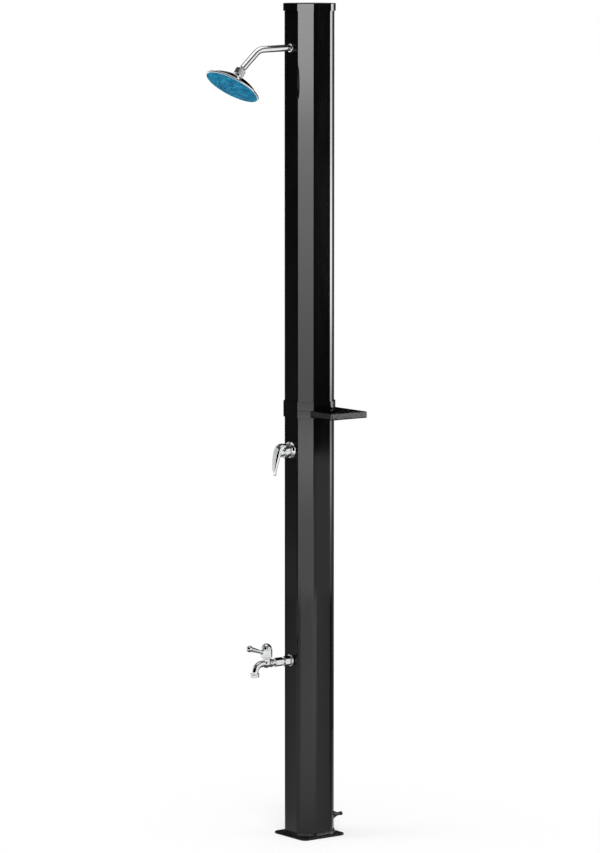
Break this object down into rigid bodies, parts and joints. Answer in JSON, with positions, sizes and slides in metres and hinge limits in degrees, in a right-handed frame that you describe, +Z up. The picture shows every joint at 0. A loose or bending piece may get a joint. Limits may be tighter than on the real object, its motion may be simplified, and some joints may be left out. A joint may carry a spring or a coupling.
{
  "type": "outdoor shower post",
  "caption": "Free-standing outdoor shower post: faceted column in two lengths with a tilting rain head, single-lever mixer, bib tap, soap dish and rear hose inlet.",
  "frame": {"origin": "centre of the underside of the base plate, on the column's axis and at the centre of the four bolt holes", "axes": "+Z up the column; -Y to the front, where the arm, mixer and tap are; +X to the soap dish; +Y to the hose inlet"},
  "size_m": [0.221, 0.4219, 2.2],
  "materials": {
    "gloss_black": "moulded and extruded black plastic, polished",
    "base_black": "moulded black plastic, fine satin",
    "fitting_black": "moulded black plastic",
    "chrome": "bright chrome plate",
    "clear_blue": "tinted blue plastic",
    "nozzle_rubber": "soft blue silicone",
    "seal_rubber": "black rubber",
    "seat_plastic": "white low-friction plastic",
    "inner_plastic": "moulded plastic",
    "white_pipe": "white water pipe",
    "brass": "turned brass",
    "ceramic": "ground ceramic",
    "steel": "stainless steel",
    "index_grey": "dark plastic plug"
  },
  "bodies": {
    "post": {"base_plate": "base_black", "base_screws": "steel", "lower_end_plug": "inner_plastic", "lower_tube": "gloss_black", "upper_tube": "gloss_black", "upper_end_plug": "inner_plastic", "top_cap": "gloss_black", "lower_bulkhead": "inner_plastic", "upper_bulkhead": "inner_plastic", "joint_seal": "seal_rubber", "joint_collar": "gloss_black", "soap_dish": "gloss_black", "clamp_screws": "steel", "cold_riser": "white_pipe", "cold_pipe": "white_pipe", "shower_pipe": "white_pipe", "hot_pipe": "white_pipe", "pipe_clips": "inner_plastic", "hose_clamps": "steel", "inlet_connector": "fitting_black", "inlet_gaskets": "seal_rubber", "inlet_tee": "brass", "tap_tee": "brass", "arm_elbow": "brass", "arm_tube": "chrome", "arm_flange": "chrome", "arm_gaskets": "seal_rubber", "swivel_ball": "chrome", "mixer_body": "chrome", "mixer_flange": "chrome", "mixer_gaskets": "seal_rubber", "cartridge_body": "inner_plastic", "dome_nut": "chrome", "tap_body": "chrome", "tap_backnut": "chrome", "tap_gaskets": "seal_rubber", "ball_seats": "seat_plastic", "spindle_packing": "seat_plastic", "tap_bonnet": "chrome", "spout_nozzle": "chrome"},
    "swivel_seat": {"swivel_seat": "seat_plastic"},
    "swivel_nut": {"swivel_nut": "chrome"},
    "head": {"head_shell": "chrome", "head_face": "clear_blue", "nozzle_mat": "nozzle_rubber", "head_seal": "seal_rubber"},
    "mixer_rotor": {"stem_rotor": "inner_plastic", "stem_pin": "steel", "ceramic_disc": "ceramic"},
    "mixer_lever": {"lever_stem": "brass", "mixer_lever": "chrome", "lever_screw": "steel", "index_cap": "index_grey"},
    "tap_handle": {"tap_handle": "chrome", "tap_spindle": "brass", "handle_knob": "chrome", "handle_screw": "steel", "valve_ball": "steel"}
  },
  "joints": [
    {"name": "head_pitch", "type": "hinge", "parent": "post", "child": "swivel_seat", "pos_m": [0, -0.22481, 2.02619], "axis": [1, 0, 0], "range_deg": [-35, 5]},
    {"name": "head_tilt", "type": "hinge", "parent": "swivel_seat", "child": "swivel_nut", "pos_m": [0, -0.22481, 2.02619], "axis": [0, 0.8387, -0.5446], "range_deg": [-10, 10]},
    {"name": "head_spin", "type": "hinge", "parent": "swivel_nut", "child": "head", "pos_m": [0, -0.22481, 2.02619], "axis": [0, -0.5446, -0.8387], "continuous": true},
    {"name": "mixer_turn", "type": "hinge", "parent": "post", "child": "mixer_rotor", "pos_m": [0, -0.0725, 1.0335], "axis": [0, -1, 0], "range_deg": [-45, 45]},
    {"name": "mixer_lift", "type": "hinge", "parent": "mixer_rotor", "child": "mixer_lever", "pos_m": [0, -0.0725, 1.0335], "axis": [1, 0, 0], "range_deg": [-20, 0]},
    {"name": "tap_turn", "type": "hinge", "parent": "post", "child": "tap_handle", "pos_m": [0, -0.1415, 0.474], "axis": [0, 0, 1], "range_deg": [0, 90]}
  ]
}
